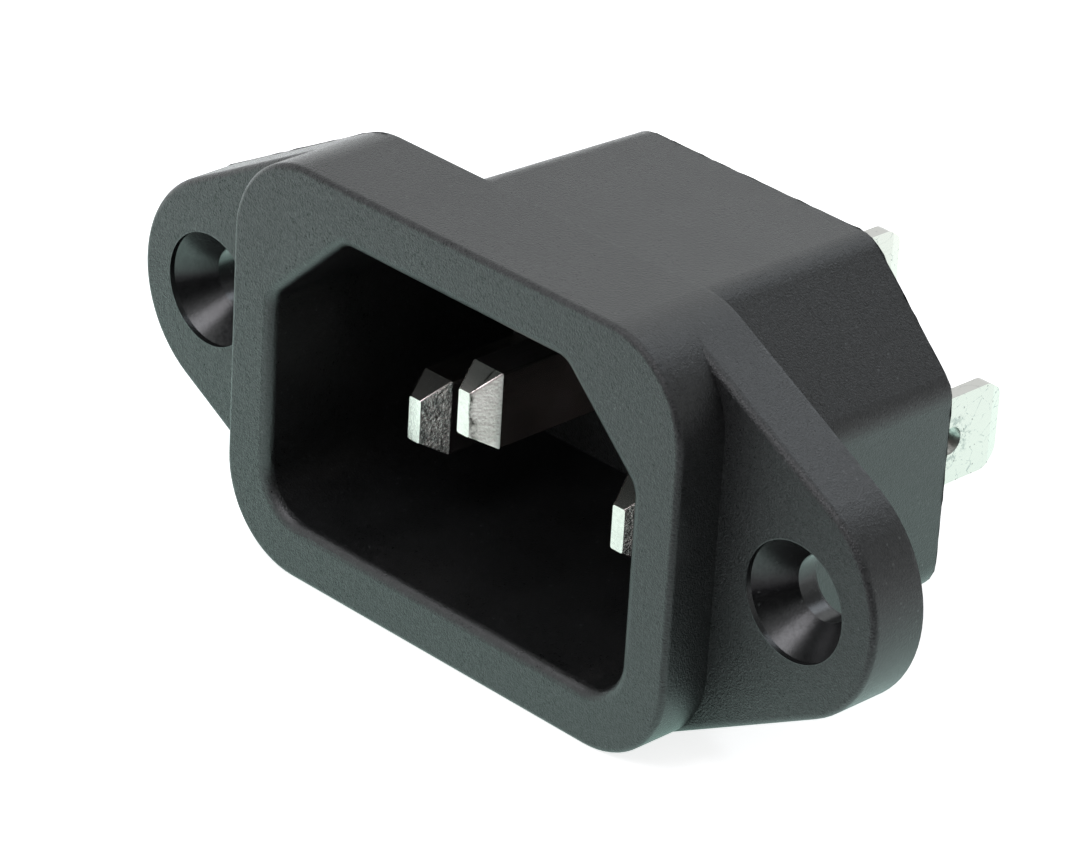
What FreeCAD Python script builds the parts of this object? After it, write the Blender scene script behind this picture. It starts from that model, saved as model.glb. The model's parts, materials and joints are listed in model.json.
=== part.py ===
# Panel inlet of the C14 pattern: one moulded housing and three contacts pressed in from behind.
# Millimetres. X runs across the width, Y from the mouth to the tails and Z up.
# The origin is midway between the two screw holes, on the back face of the flange, where the panel lies.

import FreeCAD, Part
import math
import os

os.makedirs("parts", exist_ok=True)

# Cavity that takes the plug
cavity_width = 24.5
cavity_height = 15.9
cavity_depth = 16.3
cavity_chamfer_x = 4.8
cavity_chamfer_z = 4.5
cavity_chamfer_round = 1.2
cavity_corner_round = 2.4
cavity_draft = 0.12              # taken off each side by the cavity floor
mouth_round = 0.55

# Collar round the mouth, and the flange that it stands on
collar_side_wall = 2.85          # left of and right of the mouth
collar_top_wall = 2.95           # above and below the mouth
collar_corner_round = 4.9
collar_projection = 2.85
collar_edge_round = 0.3
flange_thickness = 3.2
flange_edge_round = 0.35

# Ears and their countersunk screw holes
hole_spacing = 40.0
hole_diameter = 3.3
countersink_diameter = 5.9
countersink_lip = 0.3            # straight wall above the cone
countersink_cone_depth = 1.75
ear_tip_round = 6.1
ear_tip_reach = 4.9              # from the centre of a screw hole to the end of its ear

# Body behind the panel, round the cavity
body_side_wall = 1.65
body_top_wall = 0.9
back_wall = 3.95
body_chamfer_x = 5.9
body_chamfer_z = 5.8
body_chamfer_round = 1.8
body_corner_round = 1.8
body_draft = 0.35                # taken off each side by the back face
body_edge_round = 0.2

# Contacts: a blade in the cavity, a shoulder in a pocket of the back wall and a flat tail
contact_spacing = 14.0           # between the two current-carrying blades
blade_width = 4.0
blade_thickness = 2.0
blade_edge_round = 0.12
blade_bevel_length = 1.45
blade_bevel_width = 0.85         # taken off the top and the bottom of the tip
blade_bevel_thickness = 0.6      # taken off each flank of the tip
power_blade_rise = 5.45          # from the underside of the cavity to the middle of the blade
power_blade_recess = 4.8         # from the mouth to the tip
earth_blade_rise = 9.8
earth_blade_recess = 1.25
shoulder_depth = 1.2
tail_width = 4.8
tail_thickness = 0.8
tail_length = 10.6               # from the back face to the end
tail_chamfer_length = 1.0
tail_chamfer_width = 0.66
tail_chamfer_round = 0.8
tail_bevel_length = 0.7          # lead that thins the end on both faces
tail_bevel_thickness = 0.15
tail_hole_diameter = 1.5
tail_hole_to_end = 3.65
power_tail_drop = 2.25           # from the middle of the blade down to the middle of the tail
power_tail_offset = 0.4          # outwards from the middle of the blade
earth_tail_drop = 1.1
contact_clearance = 0.03         # round a blade and a shoulder in the back wall

# Back wall, cored out between its rim and the seats round the contacts
core_depth = 1.4
core_rim = 1.5                   # wall left round the core
core_corner_round = 0.8
seat_wall = 0.9                  # wall left round the pocket of each contact
seat_corner_round = 0.5

# Marks that the ejector pins leave on the floor of the core, between the outer seats and the rim
ejector_diameter = 2.4
ejector_mark_depth = 0.15
ejector_height = 1.5

collar_width = cavity_width + 2 * collar_side_wall
collar_height = cavity_height + 2 * collar_top_wall
body_width = cavity_width + 2 * body_side_wall
body_height = cavity_height + 2 * body_top_wall
mouth_y = -(flange_thickness + collar_projection)
floor_y = mouth_y + cavity_depth
back_y = floor_y + back_wall
shoulder_y = back_y - shoulder_depth
core_y = back_y - core_depth
hole_x = hole_spacing / 2
overrun = 1.0                    # how far a cutting tool passes the face that it opens
level_margin = 1e-4


def point(x, y, z):
    return FreeCAD.Vector(x, y, z)


def corner_arc(before, corner, after, radius):
    """Arc that rounds one corner of an outline, as its start, middle and end."""
    to_before = (before - corner).normalize()
    to_after = (after - corner).normalize()
    half_angle = to_before.getAngle(to_after) / 2
    bisector = (to_before + to_after).normalize()
    reach = radius / math.tan(half_angle)
    centre = corner + bisector * (radius / math.sin(half_angle))
    return corner + to_before * reach, centre - bisector * radius, corner + to_after * reach


def rounded_wire(corners):
    """Closed wire through corners given as (place, radius), where a radius of 0 keeps a corner sharp."""
    places = [place for place, _ in corners]
    arcs = []
    for index, (place, radius) in enumerate(corners):
        before = places[index - 1]
        after = places[(index + 1) % len(places)]
        arcs.append(corner_arc(before, place, after, radius) if radius else (place, None, place))
    edges = []
    for index, (start, middle, end) in enumerate(arcs):
        edges.append(Part.makeLine(arcs[index - 1][2], start))
        if middle:
            edges.append(Part.Arc(start, middle, end).toShape())
    return Part.Wire(edges)


def rounded_outline(corners, y):
    """Closed wire at depth y through corners given as (x, z, radius)."""
    return rounded_wire([(point(x, y, z), radius) for x, z, radius in corners])


def chamfered_corners(width, height, chamfer_x, chamfer_z, chamfer_round, corner_round):
    """Corners of the keyed C14 section: both upper corners cut off, both lower ones round."""
    side = width / 2
    top = height / 2
    return [
        (-side, -top, corner_round),
        (-side, top - chamfer_z, chamfer_round),
        (-side + chamfer_x, top, chamfer_round),
        (side - chamfer_x, top, chamfer_round),
        (side, top - chamfer_z, chamfer_round),
        (side, -top, corner_round),
    ]


def drafted_block(near_y, far_y, width, height, chamfer_x, chamfer_z, chamfer_round, corner_round, draft):
    """Solid of the keyed section that narrows by the draft on every side towards far_y."""
    near = chamfered_corners(width, height, chamfer_x, chamfer_z, chamfer_round, corner_round)
    far = chamfered_corners(
        width - 2 * draft, height - 2 * draft, chamfer_x, chamfer_z, chamfer_round, corner_round)
    return Part.makeLoft([rounded_outline(near, near_y), rounded_outline(far, far_y)], True, True)


def edges_at(shape, y):
    """Edges of a shape that lie at depth y."""
    def lies_at(box):
        return abs(box.YMin - y) < level_margin and abs(box.YMax - y) < level_margin

    return [edge for edge in shape.Edges if lies_at(edge.BoundBox)]


def round_edges(shape, radius, y):
    return shape.makeFillet(radius, edges_at(shape, y))


def make_collar():
    """Rounded block from the mouth back to the panel face."""
    side = collar_width / 2
    top = collar_height / 2
    corners = [(-side, -top), (-side, top), (side, top), (side, -top)]
    face = Part.Face(rounded_outline([(x, z, collar_corner_round) for x, z in corners], mouth_y))
    block = face.extrude(point(0, -mouth_y, 0))
    return round_edges(block, collar_edge_round, mouth_y)


def ear_tangent():
    """Where the upper edge of the right ear touches the collar corner and the tip of the ear."""
    corner_centre = point(collar_width / 2 - collar_corner_round, 0, collar_height / 2 - collar_corner_round)
    tip_centre = point(hole_x + ear_tip_reach - ear_tip_round, 0, 0)
    between = tip_centre - corner_centre
    turn = math.acos((collar_corner_round - ear_tip_round) / between.Length)
    angle = math.atan2(between.z, between.x) + turn
    normal = point(math.cos(angle), 0, math.sin(angle))
    return corner_centre, tip_centre, angle, normal


def make_flange():
    """Plate whose outline runs tangent from the corners of the collar to the ends of the ears."""
    corner_centre, tip_centre, angle, normal = ear_tangent()
    leave = corner_centre + normal * collar_corner_round
    meet = tip_centre + normal * ear_tip_round
    middle_angle = (math.pi / 2 + angle) / 2
    middle_normal = point(math.cos(middle_angle), 0, math.sin(middle_angle))
    corner_middle = corner_centre + middle_normal * collar_corner_round
    corner_top = corner_centre + point(0, 0, collar_corner_round)
    tip_end = tip_centre + point(ear_tip_round, 0, 0)

    def mirrored(place, sign_x, sign_z):
        return point(place.x * sign_x, -flange_thickness, place.z * sign_z)

    edges = []
    for sign_x in (1, -1):
        edges.append(Part.makeLine(mirrored(corner_top, -1, sign_x), mirrored(corner_top, 1, sign_x)))
        tip = [mirrored(place, sign_x, sign_z) for place, sign_z in ((meet, 1), (tip_end, 1), (meet, -1))]
        edges.append(Part.Arc(*tip).toShape())
        for sign_z in (1, -1):
            corner = [mirrored(place, sign_x, sign_z) for place in (corner_top, corner_middle, leave, meet)]
            edges.append(Part.Arc(*corner[:3]).toShape())
            edges.append(Part.makeLine(corner[2], corner[3]))
    outline = Part.Wire(Part.__sortEdges__(edges))
    plate = Part.Face(outline).extrude(point(0, flange_thickness, 0))
    return round_edges(plate, flange_edge_round, -flange_thickness)


def screw_hole(x):
    """Tool for one screw hole: straight lip, cone and through hole."""
    rim = countersink_diameter / 2
    bore = hole_diameter / 2
    front = -flange_thickness
    cone_top = front + countersink_lip
    profile = [
        point(x, front - overrun, 0),
        point(x + rim, front - overrun, 0),
        point(x + rim, cone_top, 0),
        point(x + bore, cone_top + countersink_cone_depth, 0),
        point(x + bore, overrun, 0),
        point(x, overrun, 0),
    ]
    face = Part.Face(Part.makePolygon(profile + profile[:1]))
    return face.revolve(point(x, 0, 0), point(0, 1, 0), 360)


def make_body():
    """Part of the moulding that goes through the panel."""
    block = drafted_block(
        0, back_y, body_width, body_height, body_chamfer_x, body_chamfer_z,
        body_chamfer_round, body_corner_round, body_draft)
    return round_edges(block, body_edge_round, back_y)


def make_cavity():
    """Space that takes the plug, cut from the mouth down to its floor."""
    return drafted_block(
        mouth_y, floor_y, cavity_width, cavity_height, cavity_chamfer_x, cavity_chamfer_z,
        cavity_chamfer_round, cavity_corner_round, cavity_draft)


def box_between(x_range, y_range, z_range):
    corner = point(x_range[0], y_range[0], z_range[0])
    return Part.makeBox(x_range[1] - x_range[0], y_range[1] - y_range[0], z_range[1] - z_range[0], corner)


def centred(middle, size):
    return middle - size / 2, middle + size / 2


def shoulder_ranges(contact, clearance):
    """Span across and up the back wall that holds both the blade and the tail of a contact."""
    blade_z = centred(contact["blade_height"], blade_width)
    tail_z = centred(contact["tail_height"], tail_width)
    low = min(blade_z[0], tail_z[0]) - clearance
    high = max(blade_z[1], tail_z[1]) + clearance
    across = centred(contact["x"], blade_thickness + 2 * clearance)
    return across, (low, high)


def contact_passage(contact):
    """Tool for the slot and the pocket that one contact is pressed into."""
    slot = box_between(
        centred(contact["x"], blade_thickness + 2 * contact_clearance), (floor_y - overrun, back_y),
        centred(contact["blade_height"], blade_width + 2 * contact_clearance))
    across, upright = shoulder_ranges(contact, contact_clearance)
    pocket = box_between(across, (shoulder_y, back_y + overrun), upright)
    return slot.fuse(pocket)


def seat_ranges(contact):
    return shoulder_ranges(contact, contact_clearance + seat_wall)


def contact_seat(contact):
    """Upright block with round corners that the core leaves standing round one pocket."""
    (left, right), (low, high) = seat_ranges(contact)
    corners = [(left, low), (left, high), (right, high), (right, low)]
    face = Part.Face(rounded_outline([(x, z, seat_corner_round) for x, z in corners], core_y))
    return face.extrude(point(0, core_depth + overrun, 0))


def back_core(contacts):
    """Tool that cores out the back wall inside its rim, but not the seats of the contacts."""
    inward = 2 * (body_draft + core_rim)
    less_chamfer = core_rim * (2 - math.sqrt(2))     # so that the rim is as thick along the chamfers
    outline = chamfered_corners(
        body_width - inward, body_height - inward, body_chamfer_x - less_chamfer,
        body_chamfer_z - less_chamfer, core_corner_round, core_corner_round)
    space = Part.Face(rounded_outline(outline, core_y)).extrude(point(0, core_depth + overrun, 0))
    return space.cut([contact_seat(contact) for contact in contacts])


def ejector_marks(contacts):
    """Tools for one mark on each side, midway between the outermost seat and the rim."""
    seat_side = max(seat_ranges(contact)[0][1] for contact in contacts)
    rim_side = body_width / 2 - body_draft - core_rim
    spread = (seat_side + rim_side) / 2
    places = [point(x, core_y - ejector_mark_depth, ejector_height) for x in (-spread, spread)]
    return [Part.makeCylinder(ejector_diameter / 2, overrun, place, point(0, 1, 0)) for place in places]


def make_housing(contacts):
    solid = make_collar().fuse([make_flange(), make_body()]).removeSplitter()
    tools = [screw_hole(-hole_x), screw_hole(hole_x), back_core(contacts)] + ejector_marks(contacts)
    tools += [contact_passage(contact) for contact in contacts]
    solid = solid.cut(make_cavity())
    inner_side = (cavity_width + collar_width) / 4
    mouth = [edge for edge in edges_at(solid, mouth_y) if abs(edge.CenterOfMass.x) < inner_side
             and abs(edge.CenterOfMass.z) < (cavity_height + collar_height) / 4]
    solid = solid.makeFillet(mouth_round, mouth)
    return solid.cut(tools)


def make_blade(contact):
    """Bar with round edges whose tip is bevelled on all four sides."""
    x = contact["x"]
    z = contact["blade_height"]
    tip_y = contact["tip_y"]

    def section(y, thickness, width, radius):
        left, right = centred(x, thickness)
        low, high = centred(z, width)
        corners = [(left, low), (left, high), (right, high), (right, low)]
        return rounded_outline([(corner_x, corner_z, radius) for corner_x, corner_z in corners], y)

    full = section(tip_y + blade_bevel_length, blade_thickness, blade_width, blade_edge_round)
    tip_thickness = blade_thickness - 2 * blade_bevel_thickness
    tip = section(tip_y, tip_thickness, blade_width - 2 * blade_bevel_width, blade_edge_round)
    bar = Part.Face(full).extrude(point(0, shoulder_y - tip_y - blade_bevel_length, 0))
    return bar.fuse(Part.makeLoft([tip, full], True, True))


def make_tail(contact):
    """Flat tab behind the back face, with its end corners cut off, its end thinned and a hole across it."""
    side = tail_width / 2
    end_side = side - tail_chamfer_width
    x, z = contact["tail_x"], contact["tail_height"]
    end_y = back_y + tail_length
    chamfer_y = end_y - tail_chamfer_length
    outline = [
        (back_y, -side, 0), (back_y, side, 0), (chamfer_y, side, tail_chamfer_round),
        (end_y, end_side, tail_chamfer_round), (end_y, -end_side, tail_chamfer_round),
        (chamfer_y, -side, tail_chamfer_round),
    ]
    left, right = centred(x, tail_thickness)
    corners = [(point(left, y, z + offset), radius) for y, offset, radius in outline]
    blank = Part.Face(rounded_wire(corners)).extrude(point(tail_thickness, 0, 0))

    bevel_y = end_y - tail_bevel_length
    end_left, end_right = left + tail_bevel_thickness, right - tail_bevel_thickness
    plan = [(left, back_y), (left, bevel_y), (end_left, end_y)]
    plan += [(end_right, end_y), (right, bevel_y), (right, back_y)]
    plan = [point(place_x, place_y, z - side) for place_x, place_y in plan]
    blank = blank.common(Part.Face(Part.makePolygon(plan + plan[:1])).extrude(point(0, 0, tail_width)))

    hole_start = point(left - overrun, end_y - tail_hole_to_end, z)
    hole_length = tail_thickness + 2 * overrun
    return blank.cut(Part.makeCylinder(tail_hole_diameter / 2, hole_length, hole_start, point(1, 0, 0)))


def make_contact(contact):
    across, upright = shoulder_ranges(contact, 0)
    shoulder = box_between(across, (shoulder_y, back_y), upright)
    return make_blade(contact).fuse([shoulder, make_tail(contact)]).removeSplitter()


def contact_list():
    """Name and place of each contact, seen from the mouth: earth in the middle and line on the right."""
    underside = -cavity_height / 2
    side = contact_spacing / 2
    power_z = underside + power_blade_rise
    earth_z = underside + earth_blade_rise
    power = {
        "blade_height": power_z, "tip_y": mouth_y + power_blade_recess,
        "tail_height": power_z - power_tail_drop}
    line = dict(power, name="line_contact", x=side, tail_x=side + power_tail_offset)
    neutral = dict(power, name="neutral_contact", x=-side, tail_x=-side - power_tail_offset)
    earth = {
        "name": "earth_contact", "x": 0.0, "tail_x": 0.0, "blade_height": earth_z,
        "tip_y": mouth_y + earth_blade_recess, "tail_height": earth_z - earth_tail_drop}
    return [line, neutral, earth]


def save(shape, name):
    if not shape.isValid() or len(shape.Solids) != 1:
        raise ValueError(name + " is not one valid solid")
    shape.Solids[0].exportStep("parts/" + name + ".step")
    box = shape.BoundBox
    print(name, "volume", round(shape.Volume, 2), "box", [round(v, 2) for v in (
        box.XMin, box.YMin, box.ZMin, box.XMax, box.YMax, box.ZMax)])


contacts = contact_list()
save(make_housing(contacts), "housing")
for contact in contacts:
    save(make_contact(contact), contact["name"])
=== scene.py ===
import bpy
import json
from math import cos, pi, radians, sin
from mathutils import Matrix, Vector

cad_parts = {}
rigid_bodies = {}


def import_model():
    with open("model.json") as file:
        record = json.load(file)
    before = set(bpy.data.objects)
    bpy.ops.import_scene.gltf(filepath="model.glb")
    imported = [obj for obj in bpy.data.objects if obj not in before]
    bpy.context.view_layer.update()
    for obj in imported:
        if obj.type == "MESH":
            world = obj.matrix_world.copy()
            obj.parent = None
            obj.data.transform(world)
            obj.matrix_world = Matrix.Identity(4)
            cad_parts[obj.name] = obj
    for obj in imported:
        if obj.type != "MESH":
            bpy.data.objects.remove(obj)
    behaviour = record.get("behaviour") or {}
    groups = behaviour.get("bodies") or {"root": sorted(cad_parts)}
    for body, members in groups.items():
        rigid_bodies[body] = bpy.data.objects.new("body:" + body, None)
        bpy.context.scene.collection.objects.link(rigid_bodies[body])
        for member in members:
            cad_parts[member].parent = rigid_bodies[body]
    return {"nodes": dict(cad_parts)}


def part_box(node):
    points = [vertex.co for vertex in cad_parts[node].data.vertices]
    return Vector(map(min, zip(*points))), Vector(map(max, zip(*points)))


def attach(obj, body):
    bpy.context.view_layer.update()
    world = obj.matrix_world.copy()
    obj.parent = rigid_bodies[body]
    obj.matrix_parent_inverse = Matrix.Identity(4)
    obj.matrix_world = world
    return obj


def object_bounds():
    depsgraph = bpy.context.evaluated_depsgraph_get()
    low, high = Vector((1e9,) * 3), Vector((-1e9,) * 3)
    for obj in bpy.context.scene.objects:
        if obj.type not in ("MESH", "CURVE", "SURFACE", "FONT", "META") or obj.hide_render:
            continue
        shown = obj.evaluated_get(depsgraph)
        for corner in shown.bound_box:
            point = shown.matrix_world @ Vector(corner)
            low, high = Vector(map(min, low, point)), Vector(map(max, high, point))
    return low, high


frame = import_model()
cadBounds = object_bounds()
housing = frame["nodes"]["housing"]
print("frame loaded:", sorted(frame["nodes"]))

millimetre = 0.001


# ---- small helpers for node trees and selection

def makeNode(tree, kind, inputs=None, **settings):
    node = tree.nodes.new("ShaderNode" + kind)
    for name, value in settings.items():
        setattr(node, name, value)
    for name, value in (inputs or {}).items():
        socket = node.inputs[name]
        if isinstance(value, bpy.types.NodeSocket):
            tree.links.new(value, socket)
        else:
            socket.default_value = value
    return node


def calculate(tree, operation, *values):
    return makeNode(tree, "Math", dict(enumerate(values)), operation=operation).outputs[0]


def blendColours(tree, factor, first, second):
    return makeNode(tree, "Mix", {0: factor, 6: first, 7: second}, data_type="RGBA").outputs[2]


def blendValues(tree, factor, first, second):
    return makeNode(tree, "Mix", {0: factor, 2: first, 3: second}, data_type="FLOAT").outputs[0]


def stretch(tree, value, fromLow, fromHigh, toLow=0.0, toHigh=1.0):
    inputs = {"Value": value, "From Min": fromLow, "From Max": fromHigh, "To Min": toLow, "To Max": toHigh}
    return makeNode(tree, "MapRange", inputs, clamp=True).outputs["Result"]


def bump(tree, height, depth):
    return makeNode(tree, "Bump", {"Height": height, "Distance": depth}).outputs["Normal"]


def objectPlace(tree):
    return makeNode(tree, "TexCoord").outputs["Object"]


def splitAxes(tree, vector):
    return makeNode(tree, "SeparateXYZ", {"Vector": vector}).outputs


def distanceFrom(tree, first, firstMiddle, second, secondMiddle):
    across = calculate(tree, "SUBTRACT", first, firstMiddle)
    along = calculate(tree, "SUBTRACT", second, secondMiddle)
    squares = calculate(tree, "ADD", calculate(tree, "MULTIPLY", across, across),
                        calculate(tree, "MULTIPLY", along, along))
    return calculate(tree, "SQRT", squares)


def startMaterial(name):
    material = bpy.data.materials.new(name)
    material.use_nodes = True
    tree = material.node_tree
    return material, tree, tree.nodes["Principled BSDF"]


def coat(piece, material):
    piece.data.materials.clear()
    piece.data.materials.append(material)


def selectOnly(piece):
    bpy.ops.object.select_all(action="DESELECT")
    piece.select_set(True)
    bpy.context.view_layer.objects.active = piece


# ---- effects shared by the plastic and the plate

def startGroup(name, inputs, outputs):
    group = bpy.data.node_groups.new(name, "ShaderNodeTree")
    for socket in inputs:
        group.interface.new_socket(socket, in_out="INPUT", socket_type="NodeSocketFloat")
    for socket in outputs:
        group.interface.new_socket(socket, in_out="OUTPUT", socket_type="NodeSocketFloat")
    return group, group.nodes.new("NodeGroupInput"), group.nodes.new("NodeGroupOutput")


grainLook = {
    "detail": 5.0,
    "roughness": 0.65,
    "pitScale": 0.8,            # this and the next two scales are shares of the grain's own
    "fleckScale": 0.33,
    "patchScale": 0.03,
    "pitDepth": 0.5,
    "fleckDetail": 3.0,
    "fleckRoughness": 0.7,
    "patchDetail": 4.0,
    "speckleRange": (0.38, 0.62),
    "fleckRange": (0.34, 0.66),
    "patchRange": (0.35, 0.65),
}

dustLook = {
    "wanderScale": 9000.0,
    "wanderReach": 0.1 * millimetre,
}


def makeGrainGroup():
    group, start, end = startGroup("fineGrain", ["Scale"], ["Height", "Speckle", "Fleck", "Patches"])
    place = objectPlace(group)
    grain = makeNode(group, "TexNoise", {
        "Vector": place, "Scale": start.outputs["Scale"], "Detail": grainLook["detail"],
        "Roughness": grainLook["roughness"]})
    pitScale = calculate(group, "MULTIPLY", start.outputs["Scale"], grainLook["pitScale"])
    pits = makeNode(group, "TexVoronoi", {"Vector": place, "Scale": pitScale})
    pitDepth = calculate(group, "MULTIPLY", pits.outputs["Distance"], grainLook["pitDepth"])
    height = calculate(group, "ADD", grain.outputs["Fac"], pitDepth)
    fleckScale = calculate(group, "MULTIPLY", start.outputs["Scale"], grainLook["fleckScale"])
    fleck = makeNode(group, "TexNoise", {
        "Vector": place, "Scale": fleckScale, "Detail": grainLook["fleckDetail"],
        "Roughness": grainLook["fleckRoughness"]})
    patchScale = calculate(group, "MULTIPLY", start.outputs["Scale"], grainLook["patchScale"])
    patches = makeNode(
        group, "TexNoise", {"Vector": place, "Scale": patchScale, "Detail": grainLook["patchDetail"]})
    group.links.new(height, end.inputs["Height"])
    for output, noise, ends in (("Speckle", grain, grainLook["speckleRange"]),
                                ("Fleck", fleck, grainLook["fleckRange"]),
                                ("Patches", patches, grainLook["patchRange"])):
        group.links.new(stretch(group, noise.outputs["Fac"], *ends), end.inputs[output])
    return group


def makeDustGroup():
    group, start, end = startGroup("dustSpecks", ["Scale", "Share", "Size"], ["Mask"])
    place = objectPlace(group)
    wander = makeNode(group, "TexNoise", {"Vector": place, "Scale": dustLook["wanderScale"]})
    reach = (dustLook["wanderReach"],) * 3
    shifted = makeNode(group, "VectorMath", {0: wander.outputs["Color"], 1: reach}, operation="MULTIPLY")
    bent = makeNode(group, "VectorMath", {0: place, 1: shifted.outputs[0]}, operation="ADD")
    cells = makeNode(group, "TexVoronoi", {"Vector": bent.outputs[0], "Scale": start.outputs["Scale"]})
    chosen = makeNode(group, "SeparateColor", {"Color": cells.outputs["Color"]}).outputs["Red"]
    picked = calculate(group, "LESS_THAN", chosen, start.outputs["Share"])
    near = stretch(group, cells.outputs["Distance"], start.outputs["Size"], 0.0)
    group.links.new(calculate(group, "MULTIPLY", picked, near), end.inputs["Mask"])
    return group


def useGroup(tree, group, **inputs):
    node = tree.nodes.new("ShaderNodeGroup")
    node.node_tree = group
    for name, value in inputs.items():
        node.inputs[name].default_value = value
    return node


fineGrain = makeGrainGroup()
dustSpecks = makeDustGroup()


# ---- black moulded plastic with a spark-eroded grain

plastic = {
    "darkTone": (0.0026, 0.0031, 0.0031, 1.0),
    "lightTone": (0.0172, 0.0176, 0.0180, 1.0),
    # the pale tone of the dust specks, also used for the painted highlight along the parting line
    "dustAndHighlightTone": (0.085, 0.092, 0.09, 1.0),
    "lintTone": (0.28, 0.29, 0.28, 1.0),
    "refraction": 1.72,
    "glossLoss": 0.40,
    "fleckShare": 0.55,
    "speckleShare": 0.55,
    "pitFleckShare": 0.45,
    "grainScale": 11500.0,
    "grainDepth": 0.036 * millimetre,
    "etchLeft": 1.75,
    "etchRight": 0.85,
    "etchReach": 18 * millimetre,
    "etchInMouth": 0.4,
    "frontContrast": 1.4,
    "sideContrast": 0.7,
    "wallStart": 1 * millimetre,
    "wallEnd": 4 * millimetre,
    "roughLow": 0.25,
    "roughHigh": 0.43,
    "polishedRough": 0.27,
    "holeHalfSpacing": 20 * millimetre,
    "polishedRadius": 3.0 * millimetre,
    "polishedLevel": -0.1 * millimetre,
    "polishedGrain": 0.12,
    "dustScale": 2300.0,
    "dustShare": 0.42,
    "dustSize": 0.20,
    "lintScale": 520.0,
    "lintShare": 0.06,
    "lintSize": 0.055,
    "partingLevel": -0.08 * millimetre,
    "partingReach": 0.12 * millimetre,
    "partingShare": 0.45,
    "partingBreaks": (0.2, 1.0),
}


def makePlastic():
    material, tree, shader = startMaterial("mouldedPlastic")
    grain = useGroup(tree, fineGrain, Scale=plastic["grainScale"])
    dust = useGroup(
        tree, dustSpecks, Scale=plastic["dustScale"], Share=plastic["dustShare"], Size=plastic["dustSize"])
    lint = useGroup(
        tree, dustSpecks, Scale=plastic["lintScale"], Share=plastic["lintShare"], Size=plastic["lintSize"])
    # the countersinks come out of the mould smoother than the faces round them
    coordinates = makeNode(tree, "TexCoord").outputs
    place = splitAxes(tree, coordinates["Object"])
    facing = splitAxes(tree, coordinates["Normal"])
    side = calculate(tree, "ABSOLUTE", place["X"])
    fromAxis = distanceFrom(tree, side, plastic["holeHalfSpacing"], place["Z"], 0.0)
    polished = calculate(tree, "LESS_THAN", fromAxis, plastic["polishedRadius"])
    inFront = calculate(tree, "LESS_THAN", place["Y"], plastic["polishedLevel"])
    polished = calculate(tree, "MULTIPLY", polished, inFront)
    # walls that face the middle line are those of the mouth
    outward = calculate(tree, "ADD", calculate(tree, "MULTIPLY", facing["X"], place["X"]),
                        calculate(tree, "MULTIPLY", facing["Z"], place["Z"]))
    inMouth = stretch(tree, outward, -plastic["wallStart"], -plastic["wallEnd"])
    mottle = blendValues(tree, plastic["fleckShare"], grain.outputs["Patches"], grain.outputs["Fleck"])
    mottle = blendValues(tree, plastic["speckleShare"], mottle, grain.outputs["Speckle"])
    tone = blendColours(tree, mottle, plastic["darkTone"], plastic["lightTone"])
    dustAndHighlight = calculate(tree, "MULTIPLY", dust.outputs["Mask"], grain.outputs["Patches"])
    # a painted highlight: the parting line along the rear edge of the flange is painted a little paler, in
    # broken stretches on the outward faces
    offParting = calculate(
        tree, "ABSOLUTE", calculate(tree, "SUBTRACT", place["Y"], plastic["partingLevel"]))
    paintedHighlight = stretch(tree, offParting, plastic["partingReach"], 0.0)
    broken = stretch(
        tree, grain.outputs["Fleck"], *plastic["partingBreaks"], 0.0, plastic["partingShare"])
    paintedHighlight = calculate(tree, "MULTIPLY", paintedHighlight, broken)
    paintedHighlight = calculate(tree, "MULTIPLY", paintedHighlight, calculate(tree, "GREATER_THAN", outward, 0.0))
    dustAndHighlight = calculate(tree, "MAXIMUM", dustAndHighlight, paintedHighlight)
    # dust specks and the painted highlight take the same pale tone
    tone = blendColours(tree, dustAndHighlight, tone, plastic["dustAndHighlightTone"])
    tone = blendColours(tree, lint.outputs["Mask"], tone, plastic["lintTone"])
    rough = stretch(tree, mottle, 0.0, 1.0, plastic["roughLow"], plastic["roughHigh"])
    rough = blendValues(tree, polished, rough, plastic["polishedRough"])
    grained = blendValues(tree, polished, 1.0, plastic["polishedGrain"])
    grained = calculate(tree, "MULTIPLY", grain.outputs["Height"], grained)
    # the mould is etched deeper towards the left, and lightly inside the mouth
    etch = stretch(tree, place["X"], -plastic["etchReach"], plastic["etchReach"],
                   plastic["etchLeft"], plastic["etchRight"])
    etch = calculate(tree, "MULTIPLY", etch, blendValues(tree, inMouth, 1.0, plastic["etchInMouth"]))
    grained = calculate(tree, "MULTIPLY", grained, etch)
    # grain stands out on faces square to the mould's opening, and less on its sliding sides
    across = calculate(tree, "ABSOLUTE", facing["Y"])
    contrast = blendValues(tree, across, plastic["sideContrast"], plastic["frontContrast"])
    grained = calculate(tree, "MULTIPLY", grained, contrast)
    # and its pits swallow part of the gloss
    pitted = blendValues(tree, plastic["pitFleckShare"], grain.outputs["Speckle"], grain.outputs["Fleck"])
    pitted = calculate(tree, "MULTIPLY", calculate(tree, "SUBTRACT", 0.5, pitted), contrast)
    pitted = stretch(tree, pitted, -0.5, 0.5, 0.0, plastic["glossLoss"])
    pitted = calculate(tree, "MULTIPLY", pitted, etch)
    tree.links.new(tone, shader.inputs["Base Color"])
    tree.links.new(rough, shader.inputs["Roughness"])
    tree.links.new(pitted, shader.inputs["Metallic"])
    tree.links.new(bump(tree, grained, plastic["grainDepth"]), shader.inputs["Normal"])
    shader.inputs["IOR"].default_value = plastic["refraction"]
    return material


mouldedPlastic = makePlastic()
coat(housing, mouldedPlastic)
print("moulded plastic on the housing")


# ---- nickel plate on the contacts: coined tips, plain blades, sheared tails

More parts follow.
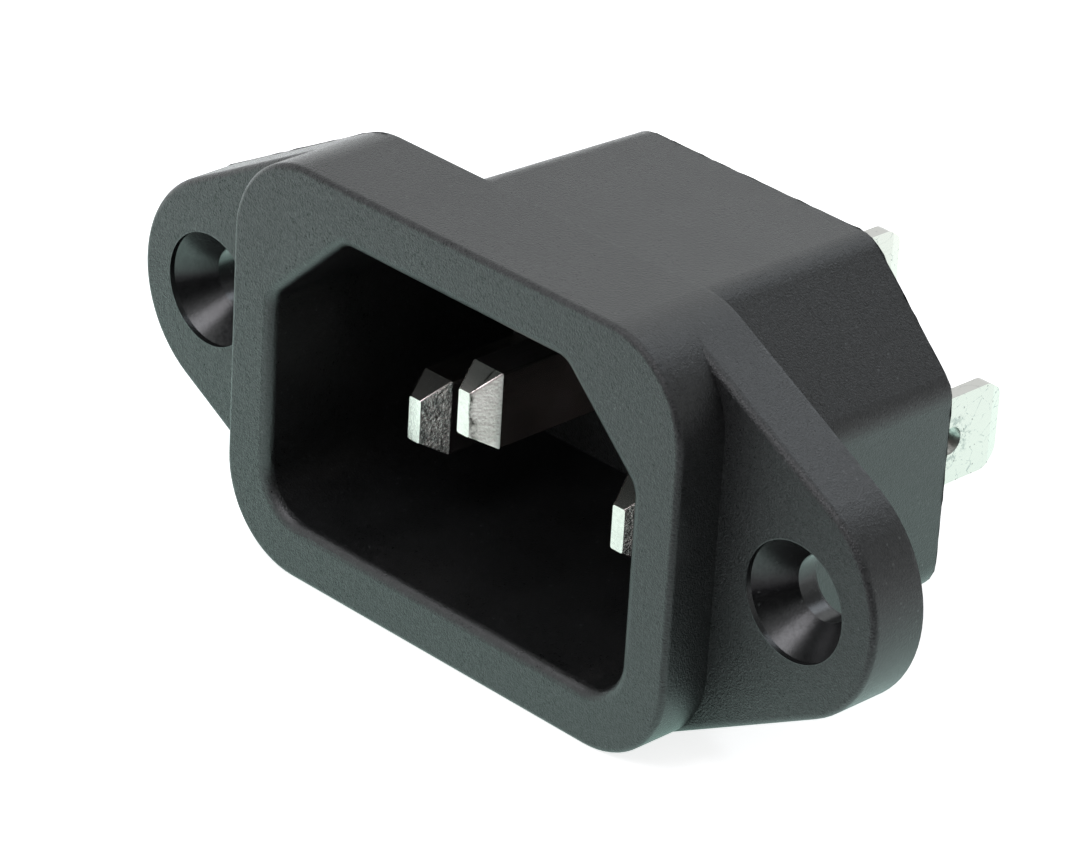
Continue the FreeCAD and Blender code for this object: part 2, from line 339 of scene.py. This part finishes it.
plate = {
    "brightTone": (0.96, 0.85, 0.825, 1.0),
    # the dull tone of wear, also used for the painted shade on the tips' forward faces
    "dullAndShadeTone": (0.56, 0.51, 0.47, 1.0),
    "shearedTone": (0.56, 0.55, 0.52, 1.0),
    # the dark tone of smears and hammer blows, also used for the painted shade at the earth bevel's edge
    "darkMarkAndShadeTone": (0.30, 0.31, 0.30, 1.0),
    "pitTone": (0.10, 0.10, 0.09, 1.0),
    "seamTone": (0.07, 0.065, 0.055, 1.0),
    "crinkleScale": 7000.0,
    "flatDepth": 0.003 * millimetre,
    "drawnScale": (6000.0, 300.0, 6000.0),
    "drawnDetail": 2.0,
    "drawnRange": (0.2, 0.8),
    "plainRough": 0.17,
    "drawnRough": 0.24,
    "shearedRough": 0.34,
    "coinedLength": 1.5 * millimetre,      # from the end of a blade back to its full section
    "tailStart": 14.3 * millimetre,
    "flankFacing": 0.6,
    "edgeFacing": 0.5,
    "frontFacing": -0.8,
    "wearStreaks": 0.5,
    "wearRange": (0.35, 0.95),
    "tailWear": 0.60,
    "coinedRange": (0.5, 1.5),
    "hammerRange": (0.2, 0.8),
    "hammerSwing": 2.0,
    "coinedShade": 0.35,
    # share of painted shade on the forward faces of the tips
    "frontShade": 0.38,
    "bevelEdge": 0.35 * millimetre,
    "bevelEdgeShade": 0.5,
    "holeFromEnd": 3.65 * millimetre,
    "holeFromUnderside": 2.4 * millimetre,
    "smearRadius": 1.6 * millimetre,
    "smearCore": 0.4,
    "smearBreaks": (0.45, 0.75),
    "pitScale": 2300.0,
    "pitShare": 0.12,
    "pitSize": 0.16,
    "seamMiddle": 0.40 * millimetre,
    "seamWander": 0.10 * millimetre,
    "seamReach": 0.10 * millimetre,
    "seamScale": 800.0,
    "seamDetail": 3.0,
    "seamRange": (0.3, 0.7),
    "seamBreaks": (0.1, 0.6, 0.3, 1.0),
    "scratchTone": (0.36, 0.36, 0.35, 1.0),
    "scratchScale": 1250.0,
    "scratchWidth": 0.034,
    "scratchBreaks": (0.45, 0.85),
}

contacts = {
    "line_contact": {"coinedRough": 0.27, "coinedDepth": 0.120 * millimetre, "crown": 0.0, "seam": 0.0},
    "neutral_contact": {"coinedRough": 0.27, "coinedDepth": 0.120 * millimetre, "crown": 0.0, "seam": 0.0},
    "earth_contact": {"coinedRough": 0.48, "coinedDepth": 0.022 * millimetre, "crown": 0.78, "seam": 1.0},
}


def makePlate(node, finish):
    low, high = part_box(node)
    material, tree, shader = startMaterial("nickelPlate_" + node.split("_")[0])
    coordinates = makeNode(tree, "TexCoord").outputs
    place = splitAxes(tree, coordinates["Object"])
    facing = splitAxes(tree, coordinates["Normal"])
    grain = useGroup(tree, fineGrain, Scale=plate["crinkleScale"])
    pits = useGroup(tree, dustSpecks, Scale=plate["pitScale"], Share=plate["pitShare"], Size=plate["pitSize"])
    drawn = makeNode(tree, "Mapping", {"Vector": coordinates["Object"], "Scale": plate["drawnScale"]})
    streaks = makeNode(
        tree, "TexNoise", {"Vector": drawn.outputs["Vector"], "Scale": 1.0, "Detail": plate["drawnDetail"]})

    # where each kind of surface lies
    atTip = calculate(tree, "LESS_THAN", place["Y"], low[1] + plate["coinedLength"])
    sideways = calculate(
        tree, "GREATER_THAN", calculate(tree, "ABSOLUTE", facing["X"]), plate["flankFacing"])
    flank = calculate(tree, "MULTIPLY", atTip, sideways)
    atTail = calculate(tree, "GREATER_THAN", place["Y"], plate["tailStart"])
    edgeways = calculate(tree, "LESS_THAN", calculate(tree, "ABSOLUTE", facing["X"]), plate["edgeFacing"])
    sheared = calculate(tree, "MULTIPLY", atTail, edgeways)
    fromHole = distanceFrom(tree, place["Y"], high[1] - plate["holeFromEnd"],
                            place["Z"], low[2] + plate["holeFromUnderside"])
    smear = stretch(tree, fromHole, plate["smearRadius"], plate["smearCore"] * plate["smearRadius"])
    smear = calculate(
        tree, "MULTIPLY", smear, stretch(tree, grain.outputs["Fleck"], *plate["smearBreaks"]))

    # worn tails, painted shade on the forward faces of the tips, hammered flanks, then smears, pits and
    # scratches
    worn = blendValues(tree, plate["wearStreaks"], grain.outputs["Patches"], streaks.outputs["Fac"])
    worn = stretch(tree, worn, *plate["wearRange"])
    worn = calculate(tree, "MAXIMUM", worn, calculate(tree, "MULTIPLY", atTail, plate["tailWear"]))
    tone = blendColours(tree, worn, plate["brightTone"], plate["dullAndShadeTone"])
    tone = blendColours(tree, sheared, tone, plate["shearedTone"])
    # painted shade: the forward faces of the tips are darkened towards the dull tone
    forward = calculate(tree, "LESS_THAN", facing["Y"], plate["frontFacing"])
    frontShadeMask = calculate(tree, "MULTIPLY", atTip, forward)
    frontShadeMask = calculate(tree, "MULTIPLY", frontShadeMask, plate["frontShade"])
    tone = blendColours(tree, frontShadeMask, tone, plate["dullAndShadeTone"])
    hammered = calculate(tree, "MULTIPLY", flank, plate["coinedShade"] * (1.0 - finish["seam"]))
    blows = stretch(tree, grain.outputs["Fleck"], *plate["hammerRange"], 0.0, plate["hammerSwing"])
    hammered = calculate(tree, "MULTIPLY", hammered, blows)
    tone = blendColours(tree, hammered, tone, plate["darkMarkAndShadeTone"])
    tone = blendColours(tree, calculate(tree, "MULTIPLY", smear, atTail), tone, plate["darkMarkAndShadeTone"])
    tone = blendColours(tree, pits.outputs["Mask"], tone, plate["pitTone"])
    lines = makeNode(tree, "TexVoronoi", {"Vector": coordinates["Object"], "Scale": plate["scratchScale"]},
                     feature="DISTANCE_TO_EDGE")
    scratch = stretch(tree, lines.outputs["Distance"], plate["scratchWidth"], 0.0)
    scratch = calculate(
        tree, "MULTIPLY", scratch, stretch(tree, grain.outputs["Fleck"], *plate["scratchBreaks"]))
    tone = blendColours(tree, calculate(tree, "MULTIPLY", scratch, atTail), tone, plate["scratchTone"])

    # the seam where the folded strip meets beside the end of the blade
    folds = makeNode(tree, "TexNoise", {
        "Vector": coordinates["Object"], "Scale": plate["seamScale"], "Detail": plate["seamDetail"]})
    swing = stretch(
        tree, folds.outputs["Fac"], *plate["seamRange"], -plate["seamWander"], plate["seamWander"])
    fromMiddle = calculate(tree, "SUBTRACT", place["X"], plate["seamMiddle"])
    offSeam = calculate(tree, "ABSOLUTE", calculate(tree, "SUBTRACT", fromMiddle, swing))
    seam = calculate(tree, "MULTIPLY", stretch(tree, offSeam, plate["seamReach"], 0.0), atTip)
    seam = calculate(tree, "MULTIPLY", seam, stretch(tree, grain.outputs["Fleck"], *plate["seamBreaks"]))
    seam = calculate(tree, "MULTIPLY", seam, finish["seam"])
    tone = blendColours(tree, seam, tone, plate["seamTone"])
    # painted shade: on the earth blade the flank darkens in a band where the bevel meets the full blade
    bevelEnd = low[1] + plate["coinedLength"]
    edge = stretch(tree, place["Y"], bevelEnd - plate["bevelEdge"], bevelEnd, 0.0, plate["bevelEdgeShade"])
    edge = calculate(tree, "MULTIPLY", calculate(tree, "MULTIPLY", edge, flank), finish["seam"])
    tone = blendColours(tree, edge, tone, plate["darkMarkAndShadeTone"])

    rough = stretch(
        tree, streaks.outputs["Fac"], *plate["drawnRange"], plate["plainRough"], plate["drawnRough"])
    rough = blendValues(tree, flank, rough, finish["coinedRough"])
    rough = blendValues(tree, sheared, rough, plate["shearedRough"])
    coined = calculate(
        tree, "MULTIPLY", finish["coinedDepth"],
        stretch(tree, grain.outputs["Patches"], 0.0, 1.0, *plate["coinedRange"]))
    depth = blendValues(tree, flank, plate["flatDepth"], coined)
    height = calculate(tree, "MULTIPLY", grain.outputs["Height"], depth)
    # a folded end is crowned, so its sides lean forward
    lean = calculate(tree, "MULTIPLY", flank, -finish["crown"])
    leaning = makeNode(tree, "CombineXYZ", {"Y": lean})
    crowned = makeNode(tree, "VectorMath", {0: makeNode(tree, "NewGeometry").outputs["Normal"],
                                            1: leaning.outputs["Vector"]}, operation="ADD")
    crowned = makeNode(tree, "VectorMath", {0: crowned.outputs["Vector"]}, operation="NORMALIZE")
    relief = makeNode(
        tree, "Bump", {"Height": height, "Distance": 1.0, "Normal": crowned.outputs["Vector"]})
    shader.inputs["Metallic"].default_value = 1.0
    tree.links.new(tone, shader.inputs["Base Color"])
    tree.links.new(rough, shader.inputs["Roughness"])
    tree.links.new(relief.outputs["Normal"], shader.inputs["Normal"])
    return material


for node, finish in contacts.items():
    coat(frame["nodes"][node], makePlate(node, finish))
print("nickel plate on", len(contacts), "contacts")


# ---- thin uneven flash that the mould left along its parting lines

flashes = {
    "bodyFlash": {"level": 14.10 * millimetre, "reach": 0.012 * millimetre, "uneven": 0.050 * millimetre,
                  "step": 0.42 * millimetre, "seed": 3, "keep": []},
    "flangeFlash": {"level": -0.10 * millimetre, "reach": 0.012 * millimetre, "uneven": 0.07 * millimetre,
                    "step": 0.50 * millimetre, "seed": 8,
                    "keep": [((-11, 0, 0), (-1, 0, 0)), ((0, 0, 3), (0, 0, 1))]},
}
flashThickness = 0.05 * millimetre
flashInset = 0.01 * millimetre         # how far within the part's own box it ends
flashCuts = 60
flashSmoothAngle = 40
weldReach = 1e-7
cutTolerance = 1e-6


def keepOuterLoop(mesh):
    bpy.ops.mesh.select_all(action="DESELECT")
    bpy.ops.object.mode_set(mode="OBJECT")
    outermost = max(mesh.vertices, key=lambda vertex: abs(vertex.co.x))
    outermost.select = True
    bpy.ops.object.mode_set(mode="EDIT")
    bpy.ops.mesh.select_linked()
    bpy.ops.mesh.select_all(action="INVERT")
    bpy.ops.mesh.delete(type="VERT")


def cutOff(place, outwards):
    bpy.ops.mesh.select_all(action="SELECT")
    bpy.ops.mesh.bisect(
        plane_co=place, plane_no=outwards, threshold=cutTolerance, use_fill=True, clear_outer=True)


def trimToCad(inset):
    low, high = cadBounds
    sides = [(low, (-1, 0, 0)), (low, (0, 0, -1)), (high, (1, 0, 0)), (high, (0, 0, 1))]
    for corner, outwards in sides:
        cutOff(corner - inset * Vector(outwards), outwards)


def makeFlash(name, flash):
    selectOnly(housing)
    bpy.ops.object.duplicate()
    piece = bpy.context.object
    piece.name = piece.data.name = name
    bpy.ops.object.mode_set(mode="EDIT")
    bpy.ops.mesh.select_mode(type="VERT")
    bpy.ops.mesh.select_all(action="SELECT")
    bpy.ops.mesh.remove_doubles(threshold=weldReach)
    bpy.ops.mesh.bisect(
        plane_co=(0, flash["level"], 0), plane_no=(0, 1, 0), threshold=cutTolerance,
        clear_inner=True, clear_outer=True)
    keepOuterLoop(piece.data)
    # an even spacing round the loop, then an outer edge that wanders
    bpy.ops.mesh.select_all(action="SELECT")
    bpy.ops.mesh.remove_doubles(threshold=flash["step"] / 2)
    bpy.ops.mesh.subdivide(number_cuts=flashCuts)
    bpy.ops.mesh.remove_doubles(threshold=flash["step"])
    piece.update_from_editmode()
    halfWidth = max(abs(vertex.co.x) for vertex in piece.data.vertices)
    halfHeight = max(abs(vertex.co.z) for vertex in piece.data.vertices)
    growth = (1 + flash["reach"] / halfWidth, 1, 1 + flash["reach"] / halfHeight)
    bpy.ops.mesh.select_all(action="SELECT")
    bpy.ops.mesh.extrude_edges_move(TRANSFORM_OT_translate={"value": (0, 0, 0)})
    bpy.ops.transform.resize(value=growth, center_override=(0, flash["level"], 0))
    bpy.ops.transform.vertex_random(offset=flash["uneven"], uniform=0.0, normal=0.0, seed=flash["seed"])
    bpy.ops.object.mode_set(mode="OBJECT")
    thickness = piece.modifiers.new("thickness", "SOLIDIFY")
    thickness.thickness = flashThickness
    thickness.offset = 0
    bpy.ops.object.modifier_apply(modifier="thickness")
    bpy.ops.object.mode_set(mode="EDIT")
    trimToCad(flashInset)
    for place, side in flash["keep"]:
        cutOff(millimetre * Vector(place), -Vector(side))
    bpy.ops.mesh.select_all(action="SELECT")
    bpy.ops.mesh.normals_make_consistent(inside=False)
    bpy.ops.object.mode_set(mode="OBJECT")
    bpy.ops.object.shade_smooth_by_angle(angle=radians(flashSmoothAngle))
    coat(piece, mouldedPlastic)
    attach(piece, "root")
    return piece


for name, flash in flashes.items():
    piece = makeFlash(name, flash)
    print(name, "with", len(piece.data.polygons), "faces")


# ---- studio: pale floor whose glow paints reflections, white surroundings and soft lamps

studio = {
    "floorSize": 4.0,
    "floorTone": (0.84, 0.85, 0.85, 1.0),
    "floorRough": 0.7,
    "floorGloss": 0.2,
    "seenGlow": 0.79,
    "glowLeft": 1.50,
    "glowRight": 0.53,
    "glowReach": 40 * millimetre,
    "frontFall": 0.70,
    "fallStart": 8 * millimetre,
    "tintStart": 45 * millimetre,
    "tintEnd": 75 * millimetre,
    "frontRightLoss": 0.45,
    "frontRight": (0.7071, -0.7071, 0),
    "lossStart": 16 * millimetre,
    "lossEnd": 40 * millimetre,
    "seenTone": (1.0, 1.0, 1.0, 1.0),
    "mirroredTone": (0.65, 1.0, 0.90, 1.0),
    "roomTone": (0.965, 0.995, 1.0, 1.0),
    "ambient": 0.39,
    "reflected": 0.56,
    "backdropSide": (-0.62, 0.63, 0.46),
    "backdropExtra": 0.56,
    "backdropEdge": 45,
    "backdropMiddle": 15,
}

# what the room leaves dark, as directions with the angles where that begins and is full
darkSides = [
    {"side": (0.80, -0.56, 0.16), "edge": 38, "middle": 22, "share": 1.0},
    {"side": (0.47, 0.62, 0.63), "edge": 24, "middle": 8, "share": 0.50},
]

softboxes = [
    {"name": "keyBox", "place": (-0.045, -0.26, 0.40), "size": (0.27, 0.42), "radiance": 3.0,
     "tone": (0.955, 0.945, 1.0)},
    {"name": "rearBox", "place": (0.035, 0.30, 0.42), "size": (0.20, 0.20), "radiance": 2.5,
     "tone": (0.83, 0.91, 1.0)},
]


def towards(tree, aim, edge, middle):
    ray = makeNode(tree, "TexCoord").outputs["Generated"]
    aimed = makeNode(tree, "VectorMath", {0: ray, 1: Vector(aim).normalized()}, operation="DOT_PRODUCT")
    return stretch(tree, aimed.outputs["Value"], cos(radians(edge)), cos(radians(middle)))


def makeFloor():
    bpy.ops.object.select_all(action="DESELECT")
    bpy.ops.mesh.primitive_plane_add(size=studio["floorSize"], location=(0, 0, cadBounds[0].z))
    floor = bpy.context.object
    floor.name = "floor"
    bpy.ops.object.transform_apply(location=True, rotation=True, scale=True)
    material, tree, shader = startMaterial("paleFloor")
    path = makeNode(tree, "LightPath")
    shown = calculate(tree, "MAXIMUM", path.outputs["Is Camera Ray"], path.outputs["Is Glossy Ray"])
    shown = calculate(tree, "MAXIMUM", shown, path.outputs["Is Transmission Ray"])
    # painted reflection: to gloss the floor glows mint near the object, brighter to the left and dimmer
    # towards the front and the front right; the camera sees one even glow
    far = makeNode(tree, "VectorMath", {0: objectPlace(tree)}, operation="LENGTH").outputs["Value"]
    far = stretch(tree, far, studio["tintStart"], studio["tintEnd"])
    mirrored = blendColours(tree, far, studio["mirroredTone"], studio["roomTone"])
    glowTone = blendColours(tree, path.outputs["Is Glossy Ray"], studio["seenTone"], mirrored)
    tree.links.new(glowTone, shader.inputs["Emission Color"])
    place = splitAxes(tree, objectPlace(tree))
    level = stretch(tree, place["X"], -studio["glowReach"], studio["glowReach"],
                    studio["glowLeft"], studio["glowRight"])
    fall = stretch(
        tree, place["Y"], -studio["fallStart"], -studio["glowReach"], 0.0, studio["frontFall"])
    level = calculate(tree, "SUBTRACT", level, fall)
    spot = makeNode(
        tree, "VectorMath", {0: objectPlace(tree), 1: studio["frontRight"]}, operation="DOT_PRODUCT")
    loss = stretch(tree, spot.outputs["Value"], studio["lossStart"], studio["lossEnd"],
                   0.0, studio["frontRightLoss"])
    level = calculate(tree, "SUBTRACT", level, loss)
    level = blendValues(tree, path.outputs["Is Glossy Ray"], studio["seenGlow"], level)
    glow = calculate(tree, "MULTIPLY", shown, level)
    tree.links.new(glow, shader.inputs["Emission Strength"])
    shader.inputs["Base Color"].default_value = studio["floorTone"]
    shader.inputs["Roughness"].default_value = studio["floorRough"]
    shader.inputs["Specular IOR Level"].default_value = studio["floorGloss"]
    coat(floor, material)


def makeWorld():
    world = bpy.data.worlds.new("whiteSurround")
    bpy.context.scene.world = world
    world.use_nodes = True
    tree = world.node_tree
    tree.nodes.clear()
    path = makeNode(tree, "LightPath")
    # the room as gloss shows it: a pale backdrop behind and dark sides
    backdrop = towards(tree, studio["backdropSide"], studio["backdropEdge"], studio["backdropMiddle"])
    backdrop = calculate(tree, "MULTIPLY", backdrop, studio["backdropExtra"])
    room = calculate(tree, "ADD", backdrop, studio["reflected"])
    for dark in darkSides:
        covered = towards(tree, dark["side"], dark["edge"], dark["middle"])
        kept = calculate(tree, "SUBTRACT", 1.0, calculate(tree, "MULTIPLY", covered, dark["share"]))
        room = calculate(tree, "MULTIPLY", room, kept)
    strength = blendValues(tree, path.outputs["Is Glossy Ray"], studio["ambient"], room)
    strength = blendValues(tree, path.outputs["Is Transmission Ray"], strength, 1.0)
    strength = blendValues(tree, path.outputs["Is Camera Ray"], strength, 1.0)
    tone = blendColours(tree, path.outputs["Is Glossy Ray"], studio["seenTone"], studio["roomTone"])
    light = makeNode(tree, "Background", {"Color": tone, "Strength": strength})
    end = makeNode(tree, "OutputWorld")
    tree.links.new(light.outputs[0], end.inputs["Surface"])


def makeSoftbox(box, aim):
    lamp = bpy.data.lights.new(box["name"], "AREA")
    lamp.shape = "RECTANGLE"
    lamp.size, lamp.size_y = box["size"]
    lamp.color = box["tone"]
    lamp.energy = box["radiance"] * pi * box["size"][0] * box["size"][1]
    holder = bpy.data.objects.new(box["name"], lamp)
    bpy.context.scene.collection.objects.link(holder)
    holder.location = box["place"]
    holder.rotation_euler = (Vector(aim) - holder.location).to_track_quat("-Z", "Y").to_euler()


makeFloor()
makeWorld()
middle = (cadBounds[0] + cadBounds[1]) / 2
for box in softboxes:
    makeSoftbox(box, middle)
print("studio:", len(softboxes), "softboxes")


# ---- camera, to the right of the mouth and above it

camera = {
    "azimuth": 44.64,
    "elevation": 27.29,
    "roll": 3.46,
    "distance": 256.0 * millimetre,
    "aimRight": 0.40 * millimetre,
    "aimUp": -0.37 * millimetre,
    "lens": 179.0,
    "sensor": 36.0,
    "nearest": 10 * millimetre,
}


def makeCamera():
    turn, rise, roll = (radians(camera[name]) for name in ("azimuth", "elevation", "roll"))
    back = Vector((sin(turn) * cos(rise), -cos(turn) * cos(rise), sin(rise)))
    right = Vector((cos(turn), sin(turn), 0))
    up = back.cross(right)
    rolledRight = right * cos(roll) + up * sin(roll)
    rolledUp = up * cos(roll) - right * sin(roll)
    place = back * camera["distance"] + rolledRight * camera["aimRight"] + rolledUp * camera["aimUp"]
    lens = bpy.data.cameras.new("productCamera")
    lens.lens = camera["lens"]
    lens.sensor_width = camera["sensor"]
    lens.clip_start = camera["nearest"]
    holder = bpy.data.objects.new("productCamera", lens)
    bpy.context.scene.collection.objects.link(holder)
    axes = Matrix((rolledRight, rolledUp, back)).transposed().to_4x4()
    holder.matrix_world = Matrix.Translation(place) @ axes
    bpy.context.scene.camera = holder


makeCamera()
bpy.context.scene.view_settings.view_transform = "Standard"
print("camera set")
